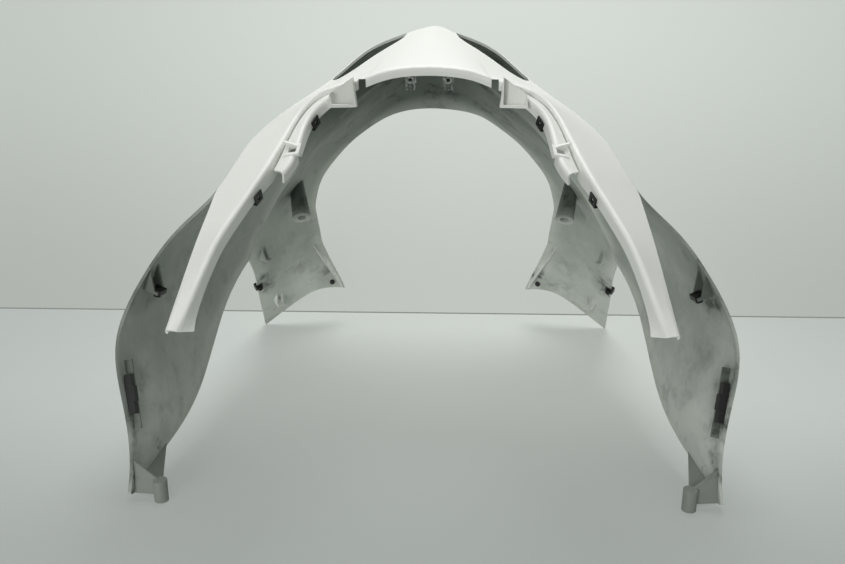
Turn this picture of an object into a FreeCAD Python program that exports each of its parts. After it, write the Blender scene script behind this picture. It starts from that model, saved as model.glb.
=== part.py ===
import FreeCAD, Part
import os
from FreeCAD import Matrix, Placement, Vector

# Front fairing of a touring motorcycle, standing on its feet and cheeks as it would on a bench.
# Millimetres; +X is the right-hand side, +Y the front of the machine, +Z up.
# Rails are lists of stations down the right-hand side, from the crown (first) to the foot (last).

# Main shell: one moulded channel, bent like a horseshoe from one foot over the crown to the other.
wall = 3.0
corner_push = 3.0
corner_lead = 11.0
fold_push = 0.8
fold_lead = 4.0
crown_rise = 5.0
crown_stations = 2
split_station = 6
slit_margin = 4.0
# How far the flank bows out between its rear and front edge at each station.
flank_bow = [14, 14, 14, 14, 14, 14, 12, 8, 3, -9, -18, -18]
bow_at = 0.35
bow_end = 0.72
bow_fade = 0.6
cut_margin = 60.0
# Joint between the skin and a bracket or boss that stands on it.
joint = 0.3
# Lower edge of the lip at the crown, then the free edge of the arm's flange.
flange_rail = [
    (0, -88, 428), (40, -90, 425), (75, -96, 414), (101, -106, 407), (130, -120, 392), (150, -162, 361),
    (160, -195, 331), (173, -225, 315), (189, -262, 291), (199, -284, 273), (209, -312, 245),
    (213, -340, 212)]
# Rear edge of the crown, seat of the dash rim, fold of the arm.
fold_rail = [
    (0, -90, 435), (40, -92, 432), (75, -98, 422), (101, -108, 416), (130, -122, 401), (150, -165, 370),
    (162, -205, 346), (176, -238, 323), (193, -276, 296), (202, -298, 278), (212, -326, 250),
    (225, -352, 217)]
# Outer edge of the rear face: crown, shoulder, arm.
arm_rail = [
    (0, 45, 472), (27, 40, 465), (76, 15, 441), (110, -18, 414), (146, -78, 393), (192, -128, 355),
    (214, -178, 319), (225, -215, 293), (227, -250, 275), (229, -285, 256), (232, -320, 237),
    (235, -352, 217)]
# Outer corner of the skin: crown, slit, shoulder, then the rear edge of the side leaf.
corner_rail = [
    (0, 60, 472), (30, 52, 465), (83, 25, 444), (117, -8, 416), (152, -70, 392), (199, -120, 353),
    (221, -172, 315), (267, -190, 271), (297, -210, 233), (325, -240, 174), (318, -270, 111),
    (312, -292, 3)]
# Front edge of the skin, which the nose laps.
front_rail = [
    (0, 112, 452), (35, 88, 432), (90, 46, 390), (118, 28, 365), (146, 25, 335), (175, 32, 295),
    (203, 45, 258), (230, 60, 212), (247, 72, 180), (258, 84, 140), (266, 92, 90),
    (274, 100, 0)]
# Lower edge of the side leaf in side view (Y, Z), from the foot to the point where it meets the cheek.
leaf_edge = [(-289, -2), (-270, 10), (-205, 29), (-132, 52), (-85, 76), (-35, 102), (30, 137), (84, 170)]
# Rear side of the slit beside the crown, in plan (X, Y), from the crown outwards.
slit_edge = [(31, 42), (45, 8), (74, -16), (95, -30), (118, -20)]
# Gap that ends the lip: where it starts, its width and its top.
lip_end = 70.0
notch_width = 8.0
notch_top = 424.0
# Direction in which the split between arm and leaf is cut.
split_way = Vector(0.45, -0.45, 0.77)

# Nose cowl: arched band round the lamp opening, with a cheek at each end.
lap = 12.0
lap_clearance = 1.1
nose_bow = 16.0
crown_at = 0.4
brow_at = 0.8
cheek_lead = 0.22
lip_wall = 2.5
# Edge of the lamp opening, then the front edge of the cheek down to its tip.
arch_rail = [
    (0, 200, 358), (50, 203, 352), (95, 208, 329), (123, 212, 307), (150, 215, 278), (171, 217, 247),
    (180, 220, 217), (181, 224, 198), (177, 230, 167), (176, 242, 146), (163, 262, 104),
    (147, 282, 57)]
# Rear edge of the cheek, from the leaf down to the corner that stands on the floor.
cheek_rail = [(258, 110, 140), (266, 175, 82), (276, 258, 0)]
# Lower edge of the cheek between that corner and the tip.
cheek_sill = [(236, 265, 30), (197, 272, 60), (168, 277, 61)]
# Turned-in lip along the front of the cheek: how far it returns at its last four stations.
lip_return = [(16, -20, 16), (18, -20, 18), (10, -18, 8), (3, -5, 2)]
# Lamp boss inside the nose: its open end and the way from there to its root.
boss_end = Vector(184, 110, 215)
boss_way = Vector(0.21, 0.65, 0.73)
boss_radius = 13.0
boss_root_radius = 10.0
boss_bore = 6.0
boss_bore_depth = 40.0
boss_limit = 150.0

# Dash rim: trim strip between the crown and the arm, with a pocket and a square-hole tab.
rim_wall = 2.5
rim_clearance = 2.2
rim_seat = 0.5
rim_push = 1.5
rim_first = 3
rim_inner_rail = [(99, -120, 409), (125, -138, 391), (134, -178, 364), (146, -214, 339)]
rim_foot_rail = [(101, -117, 400), (125, -134, 379), (134, -172, 352), (148, -207, 328)]
pocket_face = [(79, 395), (109, 396), (107, 411), (83, 427)]
pocket_back = -103.0
pocket_front = -118.0
pocket_rim = 2.5
pocket_skew = 0.5
tab_point = Vector(141, -190, 364)
tab_way = Vector(0, -0.6, -0.8)
tab_width = 17.0
tab_length = 16.0
tab_step = 0.6
wedge_rise = 10.0
square_hole = 9.0

# Feet: a screw boss at the lower rear corner of each leaf.
foot_near = Vector(312, -281, 12)
foot_reach = 32.0
foot_radius = 7.5
foot_height = 24.0
foot_bore = 2.75
foot_bore_depth = 16.0
foot_web_top = 48.0
foot_web_step = 2.0
flap_rise = 6.0
flap_edge = [(287, -212, 32), (303, -268, 16)]

# Spring nuts, and the shelves and tongues that carry them.
nut_width = 13.0
nut_length = 12.0
nut_sheet = 1.2
nut_play = 0.1
edge_play = 0.9
edge_reach = 2.5
nut_bore = 2.5
screw_play = 0.5
nut_collar = 4.0
nut_collar_height = 4.0
seat_sheet = 3.0
rib_sheet = 2.0
rib_share = 0.8
upper_near = Vector(312, -192, 214)
shelf_width = 19.0
shelf_reach = 18.0
shelf_rise = 30.0
lip_near = Vector(24, -62, 441)
lip_reach = 27.0
arm_nut_station = 7
cheek_near = Vector(265, 160, 96)
rim_nut_station = 1

# Brackets inside the cheek.
gusset_near = [(256, 122, 158), (250, 225, 57)]
gusset_width = 12.0
gusset_reach = 14.0
gusset_rise = 18.0

# Edge clip on the rear edge of the leaf.
clip_low = Vector(312, -272, 72)
clip_high = Vector(322, -241, 144)
clip_width = 7.0
clip_length = 42.0
clip_depth = 9.0
clip_play = 0.3
clip_lift = 2.0
clip_grip = 2.0
clip_rib_length = 74.0

# Stud at the tip of the cheek.
stud_near = Vector(168, 274, 73)
stud_radius = 2.0
stud_head = 3.0


def rail_of(points):
    return [Vector(*p) for p in points]


def both_sides(rail):
    return [Vector(-p.x, p.y, p.z) for p in reversed(rail[1:])] + rail


def other_side(shape):
    return shape.mirror(Vector(0, 0, 0), Vector(1, 0, 0))


def pair(shape):
    return [shape, other_side(shape)]


def toward(start, end, distance):
    way = end - start
    return start + way * (distance / way.Length)


def outward(along, across):
    """Unit normal of two directions in the skin, pointing away from the rider."""
    normal = along.cross(across).normalize()
    return normal if normal.dot(Vector(1, 0, 1)) > 0 else normal * -1


def neighbours(rail, i):
    return rail[min(i + 1, len(rail) - 1)] - rail[max(i - 1, 0)]


def station_steps(rails):
    """Shared parameter of each station: the mean length of the rails up to it."""
    steps = [0.0]
    for i in range(1, len(rails[0])):
        lengths = [(rail[i] - rail[i - 1]).Length for rail in rails]
        steps.append(steps[-1] + sum(lengths) / len(lengths))
    return [s / steps[-1] for s in steps]


def sheet(rails):
    """Smooth face that runs through the stations along each rail and takes the rails as control lines."""
    steps = station_steps(rails)
    poles = []
    for rail in rails:
        curve = Part.BSplineCurve()
        curve.interpolate(Points=rail, Parameters=steps)
        poles.append(curve.getPoles())
    degree = min(3, len(rails) - 1)
    spans = len(rails) - degree
    across = [i / spans for i in range(spans + 1)]
    mults = [degree + 1] + [1] * (spans - 1) + [degree + 1]
    surface = Part.BSplineSurface()
    surface.buildFromPolesMultsKnots(
        poles, mults, curve.getMultiplicities(), across, curve.getKnots(), False, False, degree, 3)
    return surface.toShape()


def thick(face, depth):
    """Solid between a face and its copy at a depth along the face's normal."""
    solid = face.makeOffsetShape(depth, 0.01, fill=True)
    if solid.ShapeType != "Solid":
        solid = Part.Solid(solid.Shells[0])
    if solid.Volume < 0:
        solid.reverse()
    return solid


def outline(*paths):
    """Closed wire of splines (three or more points) and straight lines, joined end to end."""
    edges = []
    for i, path in enumerate(paths):
        if len(path) > 2:
            curve = Part.BSplineCurve()
            curve.interpolate(path)
            edges.append(curve.toShape())
        elif len(path) == 2:
            edges.append(Part.LineSegment(*path).toShape())
        start = paths[(i + 1) % len(paths)][0]
        if (path[-1] - start).Length > 1e-6:
            edges.append(Part.LineSegment(path[-1], start).toShape())
    return Part.Wire(edges)


def prism(points, way):
    return Part.Face(Part.makePolygon(points + points[:1])).extrude(way)


def box(x, y, z):
    """Box from three (low, high) pairs."""
    corner = Vector(x[0], y[0], z[0])
    return Part.makeBox(x[1] - x[0], y[1] - y[0], z[1] - z[0], corner)


def seat(face, near, up=Vector(0, 0, 1)):
    """Frame on the inside of a wall nearest a point: X along the wall, Y into the part, Z up the wall."""
    u, v = face.Surface.parameter(near)
    inward = face.normalAt(u, v)
    rise = (up - inward * up.dot(inward)).normalize()
    return frame_of(face.valueAt(u, v), inward.cross(rise), inward, rise)


def seat_along(face, low, high):
    """Frame on the inside of a wall halfway between two points of it, with Z from the low to the high one."""
    ends = [face.valueAt(*face.Surface.parameter(p)) for p in (low, high)]
    middle = (ends[0] + ends[1]) * 0.5
    rise = (ends[1] - ends[0]).normalize()
    normal = face.normalAt(*face.Surface.parameter(middle))
    inward = (normal - rise * normal.dot(rise)).normalize()
    return frame_of(middle, inward.cross(rise), inward, rise)


def edge_seat(face, near, along, depth):
    """Frame in the middle of a wall at its free edge: X back along the edge, Y over it, Z outwards."""
    u, v = face.Surface.parameter(near)
    out = face.normalAt(u, v) * -1
    side = (out * along.dot(out) - along).normalize()
    return frame_of(face.valueAt(u, v) + out * (depth / 2), side, out.cross(side), out)


def frame_of(origin, x, y, z):
    return Placement(Matrix(
        x.x, y.x, z.x, origin.x, x.y, y.y, z.y, origin.y, x.z, y.z, z.z, origin.z, 0, 0, 0, 1))


def placed(shape, frame):
    moved = shape.copy()
    moved.Placement = frame.multiply(moved.Placement)
    return moved


def cylinder(radius, start, end):
    return Part.makeCylinder(radius, (end - start).Length, start, end - start)


def main_rails():
    """Control lines of the main skin, from the free edge of the flange round to the front edge."""
    flange = rail_of(flange_rail)
    fold = rail_of(fold_rail)
    arm = rail_of(arm_rail)
    corner = rail_of(corner_rail)
    front = rail_of(front_rail)
    made = [[] for _ in range(8)]
    flange_in, fold_out, web_in, web, outer, lead, quarter, three_quarter = made
    for i in range(len(corner)):
        span = front[i] - corner[i]
        away = outward(neighbours(corner, i), span)
        flange_in.append(toward(fold[i], flange[i], fold_lead))
        ridge = fold[i] - (flange[i] + arm[i]) * 0.5
        fold_out.append(fold[i] + ridge * (fold_push / ridge.Length))
        web_in.append(toward(fold[i], arm[i], fold_lead))
        rise = crown_rise if i < crown_stations else 0
        web.append((fold[i] + arm[i]) * 0.5 + Vector(0, 0, rise))
        if i <= split_station:
            ridge = corner[i] - (arm[i] + front[i]) * 0.5
            outer.append(corner[i] + ridge * (corner_push / ridge.Length))
        else:
            outer.append(toward(corner[i], front[i], -corner_push))
        lead.append(toward(corner[i], front[i], corner_lead))
        quarter.append(corner[i] + span * bow_at + away * flank_bow[i])
        three_quarter.append(corner[i] + span * bow_end + away * (flank_bow[i] * bow_fade))
    return [flange, flange_in, fold_out, web_in, web, arm, outer, lead, quarter, three_quarter, front]


def nose_rails(front, inner):
    """Control lines of the nose, from its edge outside the main skin to the edge of the lamp opening."""
    arch = rail_of(arch_rail)
    meet = len(arch) - len(cheek_rail)
    made = [[] for _ in range(4)]
    rear, lead, crown, brow = made
    for i in range(len(arch)):
        back = (inner[i] - front[i]).normalize()
        away = outward(neighbours(front, i), back)
        if i < meet:
            lapped = front[i] + away * (wall + lap_clearance)
            rear.append(lapped + back * lap)
            lead.append(lapped - back * lap)
        else:
            rear.append(Vector(*cheek_rail[i - meet]))
            lead.append(rear[i] + (arch[i] - rear[i]) * cheek_lead)
        span = arch[i] - lead[i]
        crown.append(lead[i] + span * crown_at + away * nose_bow)
        brow.append(lead[i] + span * brow_at + away * (nose_bow * bow_fade))
    lead[-1], crown[-1], brow[-1] = rail_of(cheek_sill)
    return [rear, lead, crown, brow, arch]


def split_cut(arm, corner):
    """Opening between the arm and the leaf, below the shoulder where they part."""
    way = Vector(split_way).normalize()
    start = min(p.dot(way) for p in arm + corner) - cut_margin

    def flat(point):
        return point + way * (start - point.dot(way))

    arm_side = [flat(p) for p in corner[split_station:split_station + 1] + arm[split_station + 1:]]
    leaf_side = [flat(p) for p in reversed(corner[split_station:])]
    below = [arm_side[-1] * 2 - arm_side[-2], leaf_side[0] * 2 - leaf_side[1]]
    length = max(p.dot(way) for p in arm + corner) + cut_margin - start
    return Part.Face(outline(arm_side, below, leaf_side)).extrude(way * length)


def leaf_cut(corner):
    """Everything below the lower edge of both leaves."""
    reach = max(p.x for p in corner) + cut_margin
    edge = [Vector(-reach, y, z) for y, z in leaf_edge]
    end = edge[-1] + Vector(0, 4 * lap, 0)
    corners = [Vector(-reach, end.y, -cut_margin), Vector(-reach, edge[0].y, -cut_margin)]
    return Part.Face(outline(edge, [end], corners)).extrude(Vector(2 * reach, 0, 0))


def slit_cut(arm, corner):
    """Slit between the crown and the shoulder, just inside the outer corner."""
    beside = range(1, split_station - 2)
    low = min(corner[i].z for i in beside) - cut_margin
    high = max(corner[i].z for i in beside) + cut_margin
    far = [toward(corner[i], arm[i], slit_margin) for i in reversed(beside)]
    far_edge = [Vector(p.x, p.y, low) for p in far]
    near_edge = [Vector(x, y, low) for x, y in slit_edge]
    return Part.Face(outline(near_edge, far_edge)).extrude(Vector(0, 0, high - low))


def lip_notch():
    """Gap that ends the lip just short of the pocket of the dash rim."""
    across = (lip_end, lip_end + notch_width)
    front = fold_rail[rim_first - 1][1] + 2 * fold_lead
    return box(across, (pocket_front, front), (pocket_face[0][1], notch_top))


def bracket(width, reach, height):
    """Shelf with a gusset rib at each end, standing on the inside of a wall in the frame of seat()."""
    root = -wall / 2
    shelf = box((-width / 2, width / 2), (root, reach), (-seat_sheet / 2, seat_sheet / 2))
    ribs = []
    for x in (-width / 2, width / 2 - rib_sheet):
        corners = [Vector(x, root, 0), Vector(x, reach * rib_share, 0), Vector(x, root, height)]
        ribs.append(prism(corners, Vector(rib_sheet, 0, 0)))
    return shelf.fuse(ribs)


def nut_hole(reach):
    """Screw hole under a spring nut pushed over an edge at y = reach."""
    middle = reach + nut_play + nut_sheet - nut_length / 2
    return cylinder(nut_bore + screw_play, Vector(0, middle, -2 * seat_sheet), Vector(0, middle, 2 * seat_sheet))


def spring_nut(reach, play):
    """Folded spring nut: a U of sheet pushed over the edge at y = reach, with a threaded collar below."""
    half = seat_sheet / 2 + play
    end = reach + nut_play + nut_sheet
    start = end - nut_length
    middle = end - nut_length / 2
    outer = box((-nut_width / 2, nut_width / 2), (start, end), (-half - nut_sheet, half + nut_sheet))
    throat = box((-nut_width, nut_width), (start - 1, end - nut_sheet), (-half, half))
    foot = Vector(0, middle, -half - nut_sheet - nut_collar_height)
    collar = cylinder(nut_collar, foot, Vector(0, middle, -half - nut_sheet / 2))
    bore = cylinder(nut_bore, foot, Vector(0, middle, 2 * half + nut_sheet))
    return outer.cut(throat).fuse(collar).cut(bore).removeSplitter()


def seated(piece, skin, out):
    """Piece cut back to the inside of the skin that it stands on, with a thin joint between them."""
    rest = piece.translated(out * joint).cut(skin)
    inside = max(rest.Solids, key=lambda solid: solid.Volume)
    return inside.translated(out * -joint)


def foot(skin):
    """Screw boss at the lower rear corner of the leaf, its web, and the flap that closes the corner."""
    stand = seat(main_face, foot_near)
    root = stand.Base - stand.Rotation.multVec(Vector(0, wall / 2, 0))
    away = stand.Rotation.multVec(Vector(0, 1, 0))
    away = Vector(away.x, away.y, 0).normalize()
    root.z = 0
    centre = root + away * foot_reach
    up = Vector(0, 0, 1)
    boss = cylinder(foot_radius, centre, centre + up * foot_height)
    web_end = centre + up * (foot_height - foot_web_step)
    low = up * flap_rise
    web = prism([root + low, centre + low, web_end, root + up * foot_web_top], away.cross(up) * rib_sheet)
    flap_corners = [middle_of_wall(main_face, p) for p in rail_of(flap_edge)] + [centre + low]
    sides = [flap_corners[1] - flap_corners[0], flap_corners[2] - flap_corners[0]]
    flap = prism(flap_corners, sides[0].cross(sides[1]).normalize() * rib_sheet)
    bore = cylinder(foot_bore, centre, centre + up * foot_bore_depth)
    return seated(boss.fuse([web, flap]).cut(bore), skin, away * -1)


def middle_of_wall(face, near):
    u, v = face.Surface.parameter(near)
    return face.valueAt(u, v) - face.normalAt(u, v) * (wall / 2)


def edge_rib():
    """Rib beside the rear edge of the leaf, which the edge clip lies against."""
    inner = clip_width / 2 + clip_play
    along = (-clip_rib_length / 2, clip_rib_length / 2)
    return box((inner, inner + rib_sheet), (-wall / 2, clip_depth), along)


def edge_clip():
    """Push-in clip that lies between the rib and the edge: a block with a raised grip in its middle."""
    half = clip_width / 2
    block = box((-half, half), (clip_lift, clip_depth), (-clip_length / 2, clip_length / 2))
    grip = box((-half, half), (clip_lift, clip_depth + clip_grip), (-clip_length / 5, clip_length / 5))
    return block.fuse(grip).removeSplitter()


def lamp_boss(skin):
    """Conical boss that stands on the inside of the nose, drilled from its open end."""
    way = Vector(boss_way).normalize()
    axis = Part.LineSegment(boss_end, boss_end + way * boss_limit).toShape()
    root = nose_face.distToShape(axis)[1][0][0]
    length = (root - boss_end).Length + boss_radius
    cone = Part.makeCone(boss_radius, boss_root_radius, length, boss_end, way)
    bore = cylinder(boss_bore, boss_end, boss_end + way * boss_bore_depth)
    return seated(cone.cut(bore), skin, way)


def cheek_lip(arch, brow):
    """Lip turned in along the front edge of the cheek."""
    first = len(arch) - len(lip_return)
    start = []
    end = []
    for i in range(first, len(arch)):
        start.append(middle_of_wall(nose_face, toward(arch[i], brow[i], wall / 2)))
        end.append(arch[i] + Vector(*lip_return[i - first]))
    return thick(sheet([start, end]), lip_wall)


def rim_rails(flange, fold):
    """Control lines of the dash rim, from its edge on the flange of the main skin to the foot of its wall."""
    inner = rail_of(rim_inner_rail)
    low = rail_of(rim_foot_rail)
    made = [[] for _ in range(4)]
    outer, top, lead, drop = made
    for i in range(len(inner)):
        station = rim_first + i
        down = flange[station] - fold[station]
        along = neighbours(fold, station)
        clear = down.cross(along).normalize()
        if clear.x > 0:
            clear = clear * -1
        outer.append(fold[station] + down * rim_seat + clear * (wall + rim_clearance))
        ridge = inner[i] - (outer[i] + low[i]) * 0.5
        top.append((outer[i] + inner[i]) * 0.5)
        lead.append(inner[i] + ridge * (rim_push / ridge.Length))
        drop.append((inner[i] + low[i]) * 0.5)
    return [low, drop, lead, top, outer]


def pocket():
    """Shallow box that closes the dash rim beside the lip, and the hollow in its rear face."""
    start = pocket_face[0][0]
    corners = [Vector(x, pocket_front - pocket_skew * (x - start), z) for x, z in pocket_face]
    body = prism(corners, Vector(0, pocket_back - pocket_front, 0))
    middle = sum(corners, Vector()) * (1 / len(corners))
    inset = [toward(p, middle, 2 * pocket_rim) for p in corners]
    inset[2] = corners[2] + Vector(0, 0, pocket_rim)
    inset[3] = corners[3] + Vector(0, 0, pocket_rim)
    hollow = prism(inset, Vector(0, pocket_back - pocket_front - pocket_rim, 0))
    return body, hollow


rails = main_rails()
flange, fold, arm, front = (rails[i] for i in (0, 2, 5, 10))
corner = rail_of(corner_rail)
main_face = sheet([both_sides(r) for r in rails])
nose_lines = nose_rails(front, rails[9])
nose_face = sheet([both_sides(r) for r in nose_lines])
rim_lines = rim_rails(flange, rail_of(fold_rail))
rim_face = sheet(rim_lines)
nodes = {}

# Main shell with its clip ribs and lip tongues, and the shelves and feet that stand on it.
upper_seat = seat(main_face, upper_near)
clip_seat = seat_along(main_face, clip_low, clip_high)
lip_seat = seat(main_face, lip_near, Vector(0, 1, 0))
removed = [split_cut(arm, corner), slit_cut(arm, corner), lip_notch()]
main_shell = thick(main_face, -wall).cut([p for r in removed for p in pair(r)] + [leaf_cut(corner)])
shelf = bracket(shelf_width, shelf_reach, shelf_rise).cut(nut_hole(shelf_reach))
shelf = seated(placed(shelf, upper_seat), main_shell, upper_seat.Rotation.multVec(Vector(0, -1, 0)))
standing = {"leaf_bracket": shelf, "foot": foot(main_shell)}
tongue = box((-nut_width / 2, nut_width / 2), (-wall / 2, lip_reach), (-seat_sheet / 2, seat_sheet / 2))
tongue = tongue.cut(nut_hole(lip_reach))
added = [placed(tongue, lip_seat), placed(edge_rib(), clip_seat)]
main_shell = main_shell.fuse([p for a in added for p in pair(a)])
nodes["main_shell"] = main_shell

# Nose cowl with its cheek brackets and lips, and the lamp bosses that stand on it.
stud_seat = seat(nose_face, stud_near)
stud_hole = placed(cylinder(stud_radius + nut_play, Vector(0, -2 * wall, 0), Vector(0, wall, 0)), stud_seat)
nose_cowl = thick(nose_face, -wall).cut(pair(stud_hole))
standing["lamp_boss"] = lamp_boss(nose_cowl)
gusset = bracket(gusset_width, gusset_reach, gusset_rise)
added = [cheek_lip(nose_lines[4], nose_lines[3])]
added += [placed(gusset, seat(nose_face, Vector(*p))) for p in gusset_near]
nose_cowl = nose_cowl.fuse([p for a in added for p in pair(a)])
nodes["nose_cowl"] = nose_cowl

# Dash rims
tab_seat = seat(rim_face, tab_point, tab_way)
half_hole = square_hole / 2
half_length = tab_length / 2
wedge_corners = [
    Vector(-tab_width / 2, 0, -half_length), Vector(tab_width / 2, 0, -half_length),
    Vector(-tab_width / 2, -wedge_rise, -half_length)]
wedge = prism(wedge_corners, Vector(0, 0, rim_wall))
tab = box((-tab_width / 2, tab_width / 2), (-rim_wall - tab_step, 0), (-half_length, half_length))
opening = box((-half_hole, half_hole), (-tab_length, tab_length), (-half_hole, half_hole))
pocket_body, pocket_hollow = pocket()
rim = thick(rim_face, -rim_wall).fuse([pocket_body, placed(tab.fuse(wedge), tab_seat)])
rim = rim.cut([pocket_hollow, placed(opening, tab_seat)])
nodes["right_dash_rim"] = rim
nodes["left_dash_rim"] = other_side(rim)

# Spring nuts, edge clips and studs
arm_seat = edge_seat(main_face, flange[arm_nut_station], neighbours(flange, arm_nut_station), wall)
cheek_line = rail_of(cheek_rail)
cheek_seat = edge_seat(nose_face, cheek_near, cheek_line[2] - cheek_line[0], wall)
rim_foot = rim_lines[0]
rim_nut_seat = edge_seat(rim_face, rim_foot[rim_nut_station], neighbours(rim_foot, rim_nut_station), rim_wall)
stud = cylinder(stud_radius, Vector(0, -wall, 0), Vector(0, stud_head, 0))
stud = stud.fuse(cylinder(2 * stud_radius, Vector(0, clip_play, 0), Vector(0, stud_head, 0)))
hardware = {
    "upper_nut": placed(spring_nut(shelf_reach, nut_play), upper_seat),
    "edge_clip": placed(edge_clip(), clip_seat),
    "lip_nut": placed(spring_nut(lip_reach, nut_play), lip_seat),
    "arm_nut": placed(spring_nut(edge_reach, edge_play), arm_seat),
    "cheek_nut": placed(spring_nut(edge_reach, edge_play), cheek_seat),
    "rim_nut": placed(spring_nut(edge_reach, edge_play), rim_nut_seat),
    "tip_stud": placed(stud, stud_seat)}
for name, shape in {**standing, **hardware}.items():
    nodes["right_" + name] = shape
    nodes["left_" + name] = other_side(shape)

# The frame's origin is the middle of the floor under the whole part.
boxes = [shape.optimalBoundingBox(False) for shape in (main_shell, nose_cowl, standing["foot"])]
middle = (min(b.YMin for b in boxes) + max(b.YMax for b in boxes)) / 2
home = Vector(0, -middle, -min(b.ZMin for b in boxes))
os.makedirs("parts", exist_ok=True)
for name, shape in nodes.items():
    shape.translate(home)
    shape.exportStep("parts/" + name + ".step")
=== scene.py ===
from collections import deque
from math import radians

import bmesh
import bpy
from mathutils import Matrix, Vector, kdtree


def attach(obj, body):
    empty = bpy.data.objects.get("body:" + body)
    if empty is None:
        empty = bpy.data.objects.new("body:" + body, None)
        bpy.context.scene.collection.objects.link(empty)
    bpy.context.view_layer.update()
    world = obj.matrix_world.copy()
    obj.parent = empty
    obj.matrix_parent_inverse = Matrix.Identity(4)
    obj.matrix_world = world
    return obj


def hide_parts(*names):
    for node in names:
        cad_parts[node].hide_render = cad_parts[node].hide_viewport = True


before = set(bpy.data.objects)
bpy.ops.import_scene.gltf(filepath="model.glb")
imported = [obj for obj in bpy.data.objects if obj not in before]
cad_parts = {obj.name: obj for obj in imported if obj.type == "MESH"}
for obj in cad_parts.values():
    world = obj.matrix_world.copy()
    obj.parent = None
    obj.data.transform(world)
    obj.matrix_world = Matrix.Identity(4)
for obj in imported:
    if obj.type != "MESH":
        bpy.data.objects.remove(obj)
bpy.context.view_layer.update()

# Main shell: one thin injection-moulded skin, glossy white paint on the outside and on the folded
# flanges, bare grey plastic inside with a mist of overspray that is palest along the edges.
class Wire:
    """A shader socket that takes part in sums, so that a formula adds its own nodes."""

    def __init__(self, finish, socket):
        self.finish = finish
        self.socket = socket

    def maths(self, operation, *values):
        return self.finish.node("ShaderNodeMath", {"operation": operation}, dict(enumerate(values)))

    def __add__(self, other):
        return self.maths("ADD", self, other)

    def __radd__(self, other):
        return self.maths("ADD", other, self)

    def __sub__(self, other):
        return self.maths("SUBTRACT", self, other)

    def __rsub__(self, other):
        return self.maths("SUBTRACT", other, self)

    def __mul__(self, other):
        return self.maths("MULTIPLY", self, other)

    def __rmul__(self, other):
        return self.maths("MULTIPLY", other, self)

    def __abs__(self):
        return self.maths("ABSOLUTE", self)

    def clamped(self):
        return self.maths("MINIMUM", self.maths("MAXIMUM", self, 0.0), 1.0)


class Finish:
    """A material whose nodes are added by name, each with its settings and its socket values."""

    def __init__(self, name):
        self.material = bpy.data.materials.new(name)
        self.material.use_nodes = True
        self.tree = self.material.node_tree
        self.shader = self.tree.nodes["Principled BSDF"]

    def node(self, kind, settings, sockets, output=0):
        made = self.tree.nodes.new(kind)
        for key, value in settings.items():
            setattr(made, key, value)
        for key, value in sockets.items():
            self.feed(made.inputs[key], value)
        return Wire(self, made.outputs[output])

    def feed(self, socket, value):
        if isinstance(value, Wire):
            self.tree.links.new(value.socket, socket)
        else:
            socket.default_value = value

    def surface(self, **values):
        for key, value in values.items():
            self.feed(self.shader.inputs[key.replace("_", " ")], value)

    def place(self):
        return self.node("ShaderNodeTexCoord", {}, {}, "Object")

    def along(self, axis):
        return self.node("ShaderNodeSeparateXYZ", {}, {"Vector": self.place()}, axis)

    def noise(self, scale, detail, roughness=0.5):
        sockets = {"Vector": self.place(), "Scale": scale, "Detail": detail, "Roughness": roughness}
        return self.node("ShaderNodeTexNoise", {}, sockets, "Fac")

    def between(self, value, low, high):
        """0 below low, 1 above high, smooth in between."""
        settings = {"interpolation_type": "SMOOTHSTEP"}
        sockets = {"Value": value, "From Min": low, "From Max": high}
        return self.node("ShaderNodeMapRange", settings, sockets)

    def mix(self, share, first, second):
        """Share of the second colour over the first, on the node's own sockets for colours."""
        return self.node("ShaderNodeMix", {"data_type": "RGBA"}, {0: share, 6: first, 7: second}, 2)

    def bump(self, height, distance, strength=1.0):
        sockets = {"Height": height, "Distance": distance, "Strength": strength}
        return self.node("ShaderNodeBump", {}, sockets)

    def attribute(self, name):
        return self.node("ShaderNodeAttribute", {"attribute_name": name}, {}, "Fac")


def shade(red, green, blue):
    """Colour from display values of 0 to 255."""
    def linear(c):
        c = c / 255
        return c / 12.92 if c <= 0.04045 else ((c + 0.055) / 1.055) ** 2.4
    return (linear(red), linear(green), linear(blue), 1.0)


def gloss_paint(name, colour, dusty, form=None):
    """Gloss paint with faint orange peel, haze and a little dust, over an embossed form if any."""
    paint = Finish(name)
    dust = paint.between(paint.noise(9.0, 6.0, 0.6), 0.52, 0.8) * 0.3
    relief = 0.08 * paint.noise(420.0, 2.0)
    if form:
        relief = relief + form(paint)
    haze = paint.noise(26.0, 3.0)
    paint.surface(
        Base_Color=paint.mix(dust, colour, dusty), Roughness=0.4 + 0.12 * haze,
        Normal=paint.bump(relief, 0.0015, 0.5),
        Coat_Weight=0.12, Coat_Roughness=0.3)
    return paint.material


edge_reach = 0.03
smear_reach = (0.004, 0.035)
# Heights between which painted light makes the bare insides paler towards the bottom.
lower_light_reach = (0.04, 0.17)


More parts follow.
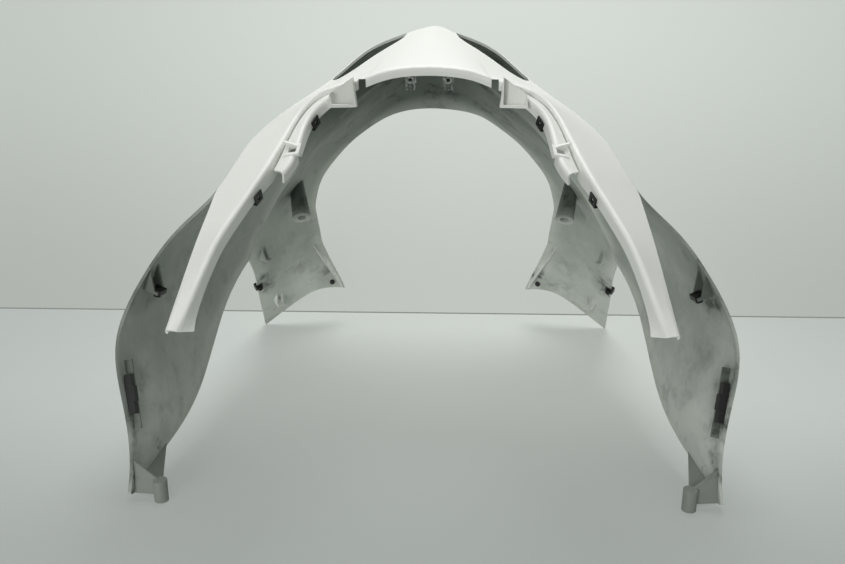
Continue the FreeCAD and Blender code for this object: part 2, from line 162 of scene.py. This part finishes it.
def bare_inside(name, colour, mist_and_light, soot_and_shade, low, high, edge_mist):
    """Bare plastic misted with paint at its edges and smeared by the fasteners, with painted shade darker
    from low to high and painted light paler towards the bottom.
    """
    bare = Finish(name)
    cloud = bare.between(bare.noise(8.0, 8.0, 0.68), 0.36, 0.64)
    streak = bare.between(bare.noise(24.0, 6.0, 0.7), 0.5, 0.7)
    edge = 1.0 - bare.between(bare.attribute("edge_distance"), 0.0, edge_reach)
    smear = 1.0 - bare.between(bare.attribute("fastener_distance"), *smear_reach)
    height = bare.along("Z")
    # Painted shade: the bare plastic darkens with height from low to high. Near the top, only the
    # edge_mist share of the pale edge mist stays.
    upper_painted_shade = bare.between(height, low, high)
    shaded_upper_edge = edge * upper_painted_shade
    # Painted light: the bare plastic turns paler towards the bottom.
    lower_painted_light = 1.0 - bare.between(height, *lower_light_reach)
    # Pale share: overspray mist in clouds and along the edges, and painted light low down.
    mist_and_light_share = 0.5 * cloud + 0.65 * edge + 0.75 * lower_painted_light
    pale = (mist_and_light_share - 0.25 * upper_painted_shade - (0.65 - edge_mist) * shaded_upper_edge - 0.5 * smear).clamped()
    # Dark share: dirt streaks and fastener smears, and painted shade high up.
    dark = (0.3 * streak + 0.75 * upper_painted_shade - edge_mist * shaded_upper_edge + smear * (0.15 + 0.7 * streak)).clamped()
    grain = bare.noise(900.0, 2.0)
    bare.surface(
        Base_Color=bare.mix(dark, bare.mix(pale, colour, mist_and_light), soot_and_shade), Roughness=0.5 + 0.2 * cloud,
        Normal=bare.bump(grain, 0.0001, 0.4))
    return bare.material


pad_half_width = 0.052
pad_taper = 0.25
pad_crease = 0.003
pad_fade = (-0.035, 0.0)


def crown_pad(paint):
    """Pad raised behind the lip of the crown, whose two sides run in and fade towards the front."""
    y = paint.along("Y")
    inwards = pad_half_width - pad_taper * y - abs(paint.along("X"))
    return paint.between(inwards, -pad_crease, pad_crease) * (1.0 - paint.between(y, *pad_fade))


shell_white = gloss_paint("white_shell_paint", shade(229, 231, 225), shade(200, 203, 195), crown_pad)
white_gloss = gloss_paint("white_gloss_paint", shade(229, 231, 225), shade(200, 203, 195))
# Main shell insides: painted shade darkens them from 0.27 m up to 0.44 m.
grey_inside = bare_inside(
    "bare_grey_inside", shade(154, 161, 153), shade(206, 211, 203), shade(66, 74, 68), 0.27, 0.44, 0.0)
# A darker copy of the bare grey, as painted shade, for the stands and for the ribs beside the edge clips.
shaded_stand_grey = bare_inside(
    "bare_stand_painted_shade", shade(100, 106, 98), shade(138, 144, 136), shade(56, 63, 58), 0.27, 0.44, 0.0)
cut_edge = gloss_paint("painted_edge", shade(214, 217, 210), shade(170, 175, 167))
handled = ("_nut", "_clip", "_stud", "_bracket", "_foot")
fasteners = [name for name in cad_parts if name.endswith(handled)]
touched = [v.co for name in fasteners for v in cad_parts[name].data.vertices]
crisp = radians(38)
weld = 1e-6


def merged_copy(node):
    """Copy of a CAD node with its triangles joined, and edges over the crisp angle kept sharp."""
    shell = bmesh.new()
    shell.from_mesh(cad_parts[node].data)
    bmesh.ops.remove_doubles(shell, verts=shell.verts, dist=weld)
    for face in shell.faces:
        face.smooth = True
    for edge in shell.edges:
        edge.smooth = len(edge.link_faces) == 2 and edge.calc_face_angle() < crisp
    return shell


def smooth_regions(shell):
    """Groups of faces joined by smooth edges, largest area first."""
    left = set(shell.faces)
    regions = []
    while left:
        start = left.pop()
        queue = deque([start])
        region = [start]
        while queue:
            for edge in queue.popleft().edges:
                if not edge.smooth:
                    continue
                for face in edge.link_faces:
                    if face in left:
                        left.remove(face)
                        queue.append(face)
                        region.append(face)
        regions.append(region)
    return sorted(regions, key=lambda r: -sum(f.calc_area() for f in r))


def paint_sides(shell, outside_first):
    """Material 0 on the outside, 1 on the inside and its ribs, 2 on the cut edges of the wall."""
    regions = smooth_regions(shell)
    skins = sorted(regions[:2], key=outside_first)
    outside = set(skins[0])
    for face in shell.faces:
        face.material_index = 1
    for face in outside:
        face.material_index = 0
    for region in regions[2:]:
        near = {other for face in region for edge in face.edges for other in edge.link_faces}
        if near & outside:
            for face in region:
                face.material_index = 2
    return regions[2:]


def mark_distance(shell, name, places):
    """Distance of each corner of the mesh from the nearest of the places, kept for the finish."""
    layer = shell.verts.layers.float.new(name)
    tree = kdtree.KDTree(len(places))
    for i, place in enumerate(places):
        tree.insert(place, i)
    tree.balance()
    for vert in shell.verts:
        vert[layer] = tree.find(vert.co)[2]


def mark_wear(shell):
    """Distances from the cut edges of the wall and from the fasteners."""
    rim = {v for face in shell.faces if face.material_index == 2 for v in face.verts}
    mark_distance(shell, "edge_distance", [v.co.copy() for v in rim])
    mark_distance(shell, "fastener_distance", touched)


def finished(name, shell, materials, node):
    """Piece of the part made from a mesh, in place of its CAD node."""
    mesh = bpy.data.meshes.new(name)
    shell.to_mesh(mesh)
    shell.free()
    for material in materials:
        mesh.materials.append(material)
    piece = bpy.data.objects.new(name, mesh)
    bpy.context.scene.collection.objects.link(piece)
    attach(piece, "root")
    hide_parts(node)
    even = piece.modifiers.new("even_shading", "WEIGHTED_NORMAL")
    even.keep_sharp = True


def highest(region):
    """Sorting key that puts the outer skin first, as it reaches higher than the inner one."""
    return -max(v.co.z for face in region for v in face.verts)


def middle_of(node):
    """Mean place of the corners of a CAD node's mesh."""
    places = [v.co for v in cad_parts[node].data.vertices]
    return sum(places, Vector()) / len(places)


clip_places = [middle_of("right_edge_clip"), middle_of("left_edge_clip")]
clip_rib_reach = 0.06
main_finishes = [shell_white, grey_inside, cut_edge, shaded_stand_grey]
shell = merged_copy("main_shell")
# Ribs beside the edge clips take the darker grey as painted shade.
for region in paint_sides(shell, highest):
    corners = [v.co for face in region for v in face.verts]
    if any(all((c - place).length < clip_rib_reach for c in corners) for place in clip_places):
        for face in region:
            face.material_index = main_finishes.index(shaded_stand_grey)
mark_wear(shell)
finished("painted_main_shell", shell, main_finishes, "main_shell")

# Nose cowl: arched moulding round the lamp opening, painted white outside and bare grey inside,
# lapped over the front edge of the main shell.
# Painted shade darkens the inside of the nose from 0.2 m up to 0.4 m, and half of the pale edge mist stays
# there.
nose_inside = bare_inside(
    "bare_nose_inside", shade(172, 179, 171), shade(216, 221, 213), shade(60, 68, 62), 0.2, 0.4, 0.5)
lip_start = 0.245
lip_top = 0.2
shell = merged_copy("nose_cowl")
for region in paint_sides(shell, highest):
    if all(v.co.y > lip_start and v.co.z < lip_top for face in region for v in face.verts):
        for face in region:
            face.material_index = 0
mark_wear(shell)
finished("painted_nose_cowl", shell, [white_gloss, nose_inside, cut_edge], "nose_cowl")

# Shelves and feet: plain stands inside the leaves, bare grey like the skin behind them but without edge
# mist, and in a darker copy of that grey that is painted shade.
far_away = [Vector((0, 0, -1))]
for stand in ("leaf_bracket", "foot"):
    for side in ("right", "left"):
        node = side + "_" + stand
        shell = merged_copy(node)
        mark_distance(shell, "edge_distance", far_away)
        mark_distance(shell, "fastener_distance", far_away)
        finished(side + "_bare_" + stand, shell, [shaded_stand_grey], node)

# Lamp bosses: tapered posts inside the nose, darkened by painted shade at the root and palest round the
# open end.
mouth_depth = 0.02
boss_grey = bare_inside(
    "bare_lamp_boss", shade(150, 157, 149), shade(212, 217, 209), shade(48, 56, 50), 0.205, 0.245, 0.0)
for side in ("right", "left"):
    node = side + "_lamp_boss"
    shell = merged_copy(node)
    low = min(v.co.z for v in shell.verts)
    corners = [v.co.copy() for edge in shell.edges if not edge.smooth for v in edge.verts]
    mouth = [corner for corner in corners if corner.z < low + mouth_depth]
    mark_distance(shell, "edge_distance", mouth)
    mark_distance(shell, "fastener_distance", far_away)
    finished(side + "_tapered_lamp_boss", shell, [boss_grey], node)

# Dash rims: small white mouldings clipped between the crown and the arms.
trim_white = gloss_paint("white_trim", shade(226, 228, 222), shade(190, 195, 187))
for side in ("right", "left"):
    shell = merged_copy(side + "_dash_rim")
    finished(side + "_painted_dash_rim", shell, [trim_white], side + "_dash_rim")

# Spring nuts: folded spring steel, phosphated black and worn paler in patches,
# pushed on the leaf shelves, arms, cheeks and dash rims.
black_steel = Finish("black_phosphated_steel")
worn = black_steel.between(black_steel.noise(300.0, 4.0, 0.6), 0.55, 0.75)
black_steel.surface(
    Base_Color=black_steel.mix(worn * 0.3, shade(26, 27, 26), shade(88, 90, 86)), Metallic=0.4,
    Roughness=0.42 + 0.2 * worn)
for nut in ("upper_nut", "arm_nut", "cheek_nut", "rim_nut"):
    for side in ("right", "left"):
        node = side + "_" + nut
        shell = merged_copy(node)
        finished(side + "_folded_" + nut, shell, [black_steel.material], node)

# Lip nuts: spring nuts pushed up on the lip of the crown, misted with paint, each with three
# narrow tongues that hang below it and curl at their ends.
misted_steel = Finish("misted_steel")
mottle = misted_steel.between(misted_steel.noise(260.0, 4.0, 0.6), 0.4, 0.7)
misted_steel.surface(
    Base_Color=misted_steel.mix(mottle, shade(120, 124, 120), shade(200, 204, 198)), Metallic=0.3,
    Roughness=0.4 + 0.2 * mottle)
tongue_pitch = 0.0044
tongue_width = 0.0024
tongue_gauge = 0.0006
tongue_path = (
    (0.0, 0.0015), (-0.0006, -0.002), (-0.0012, -0.0045), (-0.0008, -0.0062), (0.0008, -0.007))
for side in ("right", "left"):
    node = side + "_lip_nut"
    shell = merged_copy(node)
    lowest = min(shell.verts, key=lambda v: v.co.z).co.copy()
    middle = middle_of(node).x
    for place in (-1, 0, 1):
        rows = []
        for out, rise in tongue_path:
            x = middle + place * tongue_pitch
            rows.append([shell.verts.new((x + half * tongue_width, lowest.y + out, lowest.z + rise))
                         for half in (-0.5, 0.5)])
        strip = [shell.faces.new((a[0], a[1], b[1], b[0])) for a, b in zip(rows, rows[1:])]
        bmesh.ops.solidify(shell, geom=strip, thickness=tongue_gauge)
    bmesh.ops.recalc_face_normals(shell, faces=shell.faces)
    finished(side + "_tongued_lip_nut", shell, [misted_steel.material], node)

# Edge clips and tip studs: black moulded nylon pushed into the skin.
black_nylon = Finish("black_nylon")
grain = black_nylon.noise(700.0, 3.0)
black_nylon.surface(
    Base_Color=shade(24, 25, 24), Roughness=0.45 + 0.2 * grain, Normal=black_nylon.bump(grain, 0.0001))
for clip in ("edge_clip", "tip_stud"):
    for side in ("right", "left"):
        node = side + "_" + clip
        shell = merged_copy(node)
        finished(side + "_moulded_" + clip, shell, [black_nylon.material], node)

# Studio: a pale floor that meets a pale wall just behind the part, both painted with light and shade, with
# a broad soft light high up behind and a weaker one beside the camera.
wall_line = 0.357
studio_reach = 12.0
pool_middle = 0.07
pool_reach = 0.85


def studio_sheet(name, axis, reach, middle, sides, own_light, corners):
    """One-sided card with painted light and shade: a tone along one axis, palest in a painted pool of
    light, and some light of its own.
    """
    sheet = bmesh.new()
    sheet.faces.new([sheet.verts.new(c) for c in corners])
    mesh = bpy.data.meshes.new(name)
    sheet.to_mesh(mesh)
    sheet.free()
    card = Finish(name + "_card")
    share = card.between(card.along(axis), *reach)
    aside = card.between(abs(card.along("X") - pool_middle), 0.0, pool_reach)
    tone = card.mix(aside, card.mix(share, *middle), card.mix(share, *sides))
    card.surface(Base_Color=tone, Roughness=0.7)
    glow = card.node("ShaderNodeEmission", {}, {"Color": tone, "Strength": 1.0})
    rays = [card.node("ShaderNodeLightPath", {}, {}, ray) for ray in ("Is Camera Ray", "Is Glossy Ray")]
    seen = (rays[0] + rays[1]) * own_light
    surface = Wire(card, card.shader.outputs["BSDF"])
    lit = card.node("ShaderNodeMixShader", {}, {0: seen, 1: surface, 2: glow})
    back = card.node("ShaderNodeNewGeometry", {}, {}, "Backfacing")
    clear = card.node("ShaderNodeBsdfTransparent", {}, {})
    one_sided = card.node("ShaderNodeMixShader", {}, {0: back, 1: lit, 2: clear})
    card.feed(card.tree.nodes["Material Output"].inputs["Surface"], one_sided)
    mesh.materials.append(card.material)
    stage = bpy.data.objects.new(name, mesh)
    bpy.context.scene.collection.objects.link(stage)
    stage.visible_shadow = False


# Floor: painted shade towards the front, and a painted pool of light in the middle towards the back.
floor_middle = (shade(169, 175, 171), shade(207, 212, 207))
floor_sides = (shade(168, 173, 169), shade(184, 190, 186))
studio_sheet("floor", "Y", (-0.4, 0.08), floor_middle, floor_sides, 0.55, [
    (-studio_reach, -studio_reach, 0), (studio_reach, -studio_reach, 0),
    (studio_reach, studio_reach, 0), (-studio_reach, studio_reach, 0)])
seam = 0.002
# Wall: painted shade towards the floor, and a painted pool of light in the middle.
wall_middle = (shade(196, 201, 195), shade(219, 225, 219))
wall_sides = (shade(178, 183, 178), shade(196, 202, 196))
studio_sheet("wall", "Z", (seam, 0.5), wall_middle, wall_sides, 0.9, [
    (-studio_reach, wall_line, seam), (studio_reach, wall_line, seam),
    (studio_reach, wall_line, studio_reach), (-studio_reach, wall_line, studio_reach)])
# A dark strip along the foot of the wall, as painted shade in the corner.
seam_painted_shade = (shade(128, 132, 127), shade(140, 144, 139))
studio_sheet("wall_foot", "Z", (0.0, seam), seam_painted_shade, seam_painted_shade, 0.9, [
    (-studio_reach, wall_line, 0), (studio_reach, wall_line, 0),
    (studio_reach, wall_line, seam), (-studio_reach, wall_line, seam)])


def soft_light(name, place, target, size, power):
    """Square soft box turned towards a target."""
    lamp = bpy.data.lights.new(name, "AREA")
    lamp.shape = "SQUARE"
    lamp.size = size
    lamp.energy = power
    light = bpy.data.objects.new(name, lamp)
    light.location = place
    light.rotation_euler = (Vector(target) - Vector(place)).to_track_quat("-Z", "Y").to_euler()
    bpy.context.scene.collection.objects.link(light)


soft_light("high_back_light", place=(0.1, 0.75, 2.4), target=(0.0, -0.05, 0.0), size=1.5, power=45.0)
soft_light("camera_side_light", place=(-0.85, -2.05, 0.45), target=(0.05, 0.0, 0.15), size=0.7, power=15.0)
air_light = 0.38
world = bpy.data.worlds.new("studio_air")
world.use_nodes = True
air = world.node_tree.nodes["Background"]
air.inputs["Color"].default_value = (1.0, 1.0, 1.0, 1.0)
air.inputs["Strength"].default_value = air_light
bpy.context.scene.world = world
bpy.context.scene.view_settings.view_transform = "Standard"

# Camera: behind the part and a little above it, as the photograph was taken.
look_down = radians(17.4)
look_left = radians(2.0)
camera_data = bpy.data.cameras.new("camera")
camera_data.sensor_width = 36.0
camera_data.lens = 38.34
camera = bpy.data.objects.new("camera", camera_data)
camera.location = (0.029, -1.0849, 0.508)
camera.rotation_euler = (radians(90) - look_down, 0, look_left)
bpy.context.scene.collection.objects.link(camera)
bpy.context.scene.camera = camera
